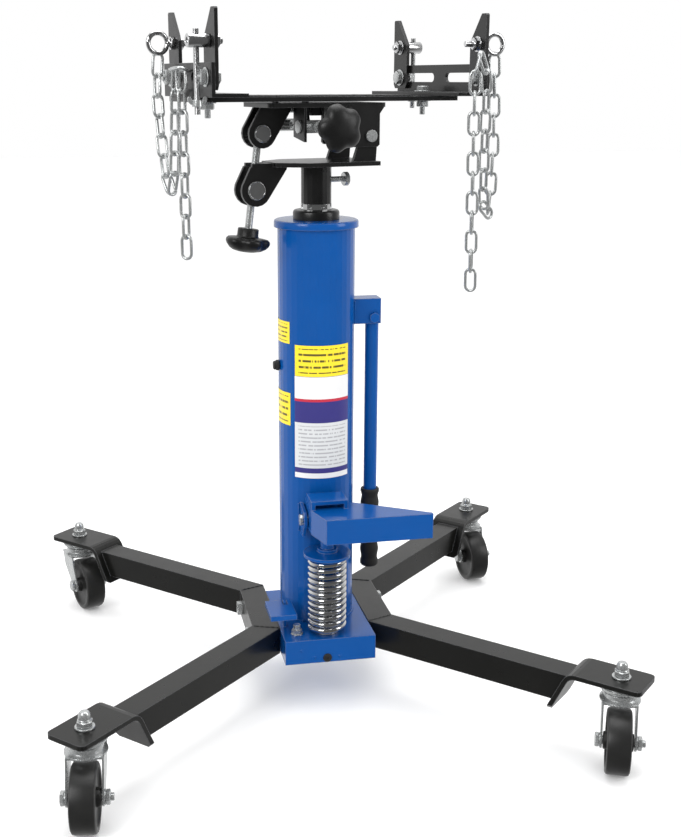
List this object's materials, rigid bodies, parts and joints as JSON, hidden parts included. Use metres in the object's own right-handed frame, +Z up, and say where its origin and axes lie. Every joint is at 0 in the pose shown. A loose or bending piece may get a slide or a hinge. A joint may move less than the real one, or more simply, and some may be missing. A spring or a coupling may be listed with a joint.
{
  "type": "transmission jack",
  "caption": "Upright two-stage hydraulic jack on castors with a foot pump and a swivelling, tilting saddle that carries slotted brackets, fingers and chains.",
  "frame": {"origin": "floor level under the middle of the jack's outline, a few millimetres from the column's axis", "axes": "+Z up along the column, -Y the side with the foot pump, +X the user's right when standing at the pump"},
  "size_m": [0.8118, 0.8176, 0.9985],
  "materials": {
    "blue_paint": "gloss",
    "black_paint": "semi-gloss",
    "zinc": "zinc plated",
    "chrome": "polished",
    "knob_plastic": "matt",
    "grip_rubber": "matt",
    "wheel_nylon": "satin"
  },
  "bodies": {
    "base": {"base_block": "blue_paint", "left_leg_frame": "black_paint", "right_leg_frame": "black_paint", "leg_clamp_bolt_front": "zinc", "leg_clamp_bolt_rear": "zinc", "reservoir_tube": "blue_paint", "reservoir_cap": "blue_paint", "pressure_cylinder": "zinc", "gland_nut": "black_paint", "filler_plug": "knob_plastic", "pump_barrel": "zinc", "pedal_pivot_pin": "zinc", "caster_stem_front_left": "zinc", "caster_stem_front_right": "zinc", "caster_stem_rear_left": "zinc", "caster_stem_rear_right": "zinc"},
    "fork_front_left": {"caster_fork_front_left": "zinc"},
    "wheel_front_left": {"caster_wheel_front_left": "wheel_nylon"},
    "fork_front_right": {"caster_fork_front_right": "zinc"},
    "wheel_front_right": {"caster_wheel_front_right": "wheel_nylon"},
    "fork_rear_left": {"caster_fork_rear_left": "zinc"},
    "wheel_rear_left": {"caster_wheel_rear_left": "wheel_nylon"},
    "fork_rear_right": {"caster_fork_rear_right": "zinc"},
    "wheel_rear_right": {"caster_wheel_rear_right": "wheel_nylon"},
    "lower_ram": {"outer_ram": "chrome"},
    "upper_ram": {"inner_ram": "chrome"},
    "saddle_base": {"lower_saddle_plate": "black_paint", "roll_hinge_pin": "zinc"},
    "lock_screw": {"socket_lock_screw": "zinc"},
    "tilt_plate": {"middle_saddle_plate": "black_paint", "pitch_hinge_pin": "zinc"},
    "roll_screw_nut": {"upper_roll_trunnion": "zinc"},
    "roll_guide": {"lower_roll_trunnion": "zinc"},
    "roll_handwheel": {"roll_screw": "zinc", "roll_knob": "knob_plastic"},
    "top_plate": {"top_saddle_plate": "black_paint"},
    "pitch_front_nut": {"front_pitch_trunnion": "zinc"},
    "pitch_rear_guide": {"rear_pitch_trunnion": "zinc"},
    "pitch_handwheel": {"pitch_screw": "zinc", "pitch_knob": "knob_plastic"},
    "left_bracket_body": {"left_bracket": "black_paint"},
    "right_bracket_body": {"right_bracket": "black_paint"},
    "left_rear_finger_body": {"left_rear_finger": "black_paint", "left_eye_bolt": "chrome"},
    "left_front_finger_body": {"left_front_finger": "black_paint", "left_tension_barrel": "chrome"},
    "right_rear_finger_body": {"right_rear_finger": "black_paint", "right_tension_barrel": "chrome"},
    "right_front_finger_body": {"right_front_finger": "black_paint", "right_eye_bolt": "chrome"},
    "left_rod": {"left_tension_rod": "chrome"},
    "right_rod": {"right_tension_rod": "chrome"},
    "left_chain_body": {"left_chain": "zinc"},
    "right_chain_body": {"right_chain": "zinc"},
    "piston": {"pump_piston": "blue_paint", "pump_spring": "chrome"},
    "pedal": {"pump_pedal": "blue_paint"},
    "release": {"release_pedal": "blue_paint"},
    "handle": {"folding_handle": "blue_paint", "handle_grip": "grip_rubber"}
  },
  "joints": [
    {"name": "caster_swivel_front_left", "type": "hinge", "parent": "base", "child": "fork_front_left", "pos_m": [-0.36, -0.331, 0.1075], "axis": [0, 0, 1], "continuous": true},
    {"name": "wheel_spin_front_left", "type": "hinge", "parent": "fork_front_left", "child": "wheel_front_left", "pos_m": [-0.36366, -0.36078, 0.045], "axis": [0.9925, -0.1219, 0], "continuous": true},
    {"name": "caster_swivel_front_right", "type": "hinge", "parent": "base", "child": "fork_front_right", "pos_m": [0.36, -0.331, 0.1075], "axis": [0, 0, 1], "continuous": true},
    {"name": "wheel_spin_front_right", "type": "hinge", "parent": "fork_front_right", "child": "wheel_front_right", "pos_m": [0.34828, -0.35862, 0.045], "axis": [0.9205, -0.3907, 0], "continuous": true},
    {"name": "caster_swivel_rear_left", "type": "hinge", "parent": "base", "child": "fork_rear_left", "pos_m": [-0.36, 0.365, 0.1075], "axis": [0, 0, 1], "continuous": true},
    {"name": "wheel_spin_rear_left", "type": "hinge", "parent": "fork_rear_left", "child": "wheel_rear_left", "pos_m": [-0.34974, 0.33681, 0.045], "axis": [0.9397, 0.342, 0], "continuous": true},
    {"name": "caster_swivel_rear_right", "type": "hinge", "parent": "base", "child": "fork_rear_right", "pos_m": [0.36, 0.365, 0.1075], "axis": [0, 0, 1], "continuous": true},
    {"name": "wheel_spin_rear_right", "type": "hinge", "parent": "fork_rear_right", "child": "wheel_rear_right", "pos_m": [0.36314, 0.33516, 0.045], "axis": [0.9945, 0.1045, 0], "continuous": true},
    {"name": "lower_ram_lift", "type": "slide", "parent": "base", "child": "lower_ram", "axis": [0, 0, 1], "range_m": [0, 0.46]},
    {"name": "upper_ram_lift", "type": "slide", "parent": "lower_ram", "child": "upper_ram", "axis": [0, 0, 1], "range_m": [0, 0.44]},
    {"name": "saddle_swivel", "type": "hinge", "parent": "upper_ram", "child": "saddle_base", "pos_m": [0, 0, 0.7955], "axis": [0, 0, 1], "continuous": true},
    {"name": "lock_screw_turn", "type": "hinge", "parent": "saddle_base", "child": "lock_screw", "pos_m": [0, 0, 0.7735], "axis": [0.9703, 0.2419, 0], "continuous": true},
    {"name": "roll_tilt", "type": "hinge", "parent": "saddle_base", "child": "tilt_plate", "pos_m": [0.05967, 0.01488, 0.8355], "axis": [-0.2419, 0.9703, 0], "range_deg": [-4, 5]},
    {"name": "lower_trunnion_turn", "type": "hinge", "parent": "saddle_base", "child": "roll_guide", "pos_m": [-0.09509, -0.02371, 0.7625], "axis": [-0.2419, 0.9703, 0], "range_deg": [-1.5, 1.5]},
    {"name": "upper_trunnion_turn", "type": "hinge", "parent": "tilt_plate", "child": "roll_screw_nut", "pos_m": [-0.08539, -0.02129, 0.8395], "axis": [-0.2419, 0.9703, 0], "range_deg": [-6, 6]},
    {"name": "roll_screw_spin", "type": "hinge", "parent": "roll_screw_nut", "child": "roll_handwheel", "pos_m": [-0.08539, -0.02129, 0.8395], "axis": [0.125, 0.0312, 0.9917], "continuous": true},
    {"name": "pitch_tilt", "type": "hinge", "parent": "tilt_plate", "child": "top_plate", "pos_m": [-0.01403, 0.05628, 0.8695], "axis": [-0.9703, -0.2419, 0], "range_deg": [0, 12]},
    {"name": "front_pitch_trunnion_turn", "type": "hinge", "parent": "tilt_plate", "child": "pitch_front_nut", "pos_m": [-0.00657, -0.02946, 0.8485], "axis": [0.9703, 0.2419, 0], "range_deg": [-1, 1.5]},
    {"name": "rear_pitch_trunnion_turn", "type": "hinge", "parent": "top_plate", "child": "pitch_rear_guide", "pos_m": [-0.02713, 0.05301, 0.8485], "axis": [0.9703, 0.2419, 0], "range_deg": [-1, 14]},
    {"name": "pitch_screw_spin", "type": "hinge", "parent": "pitch_front_nut", "child": "pitch_handwheel", "pos_m": [-0.00657, -0.02946, 0.8485], "axis": [-0.2419, 0.9703, 0], "continuous": true},
    {"name": "left_bracket_slide", "type": "slide", "parent": "top_plate", "child": "left_bracket_body", "axis": [-0.9703, -0.2419, 0], "range_m": [-0.006, 0.01]},
    {"name": "right_bracket_slide", "type": "slide", "parent": "top_plate", "child": "right_bracket_body", "axis": [0.9703, 0.2419, 0], "range_m": [-0.015, 0.004]},
    {"name": "left_rear_finger_slide", "type": "slide", "parent": "left_bracket_body", "child": "left_rear_finger_body", "axis": [0.2419, -0.9703, 0], "range_m": [0, 0.012]},
    {"name": "left_front_finger_slide", "type": "slide", "parent": "left_bracket_body", "child": "left_front_finger_body", "axis": [-0.2419, 0.9703, 0], "range_m": [0, 0.015]},
    {"name": "right_rear_finger_slide", "type": "slide", "parent": "right_bracket_body", "child": "right_rear_finger_body", "axis": [0.2419, -0.9703, 0], "range_m": [0, 0.03]},
    {"name": "right_front_finger_slide", "type": "slide", "parent": "right_bracket_body", "child": "right_front_finger_body", "axis": [-0.2419, 0.9703, 0], "range_m": [0, 0.01]},
    {"name": "left_rod_turn", "type": "hinge", "parent": "left_front_finger_body", "child": "left_rod", "pos_m": [-0.18151, -0.14832, 0.9585], "axis": [0, 0, 1], "continuous": true},
    {"name": "right_rod_turn", "type": "hinge", "parent": "right_rear_finger_body", "child": "right_rod", "pos_m": [0.18589, 0.17208, 0.9585], "axis": [0, 0, 1], "continuous": true},
    {"name": "left_chain_swing", "type": "hinge", "parent": "left_rear_finger_body", "child": "left_chain_body", "pos_m": [-0.21975, -0.01563, 0.9475], "axis": [-0.2419, 0.9703, 0], "range_deg": [-1, 14]},
    {"name": "right_chain_swing", "type": "hinge", "parent": "right_front_finger_body", "child": "right_chain_body", "pos_m": [0.24445, -0.04211, 0.9475], "axis": [0.2419, -0.9703, 0], "range_deg": [-2, 14]},
    {"name": "pump_pedal_stroke", "type": "hinge", "parent": "base", "child": "pedal", "pos_m": [0, -0.068, 0.2865], "axis": [1, 0, 0], "range_deg": [0, 25], "stiffness_Nm_per_rad": 30, "springref_deg": -20.05},
    {"name": "pump_piston_stroke", "type": "slide", "parent": "base", "child": "piston", "axis": [0, 0, -1], "range_m": [0, 0.0085], "deforming": ["pump_spring"]},
    {"name": "release_pedal_press", "type": "hinge", "parent": "base", "child": "release", "pos_m": [-0.056, -0.056, 0.1495], "axis": [1, 0, 0], "range_deg": [0, 9], "stiffness_Nm_per_rad": 2, "springref_deg": -17.19},
    {"name": "handle_fold", "type": "hinge", "parent": "base", "child": "handle", "pos_m": [0.084, 0, 0.5745], "axis": [0, -1, 0], "range_deg": [0, 95]}
  ],
  "couplings": [
    {"joint": "lower_trunnion_turn", "follows": "roll_tilt", "ratio": -0.1971},
    {"joint": "upper_trunnion_turn", "follows": "roll_tilt", "ratio": -1.1971},
    {"joint": "front_pitch_trunnion_turn", "follows": "pitch_tilt", "ratio": 0.0272},
    {"joint": "rear_pitch_trunnion_turn", "follows": "pitch_tilt", "ratio": 1.0272},
    {"joint": "pump_piston_stroke", "follows": "pump_pedal_stroke", "m_per_rad": 0.018}
  ]
}
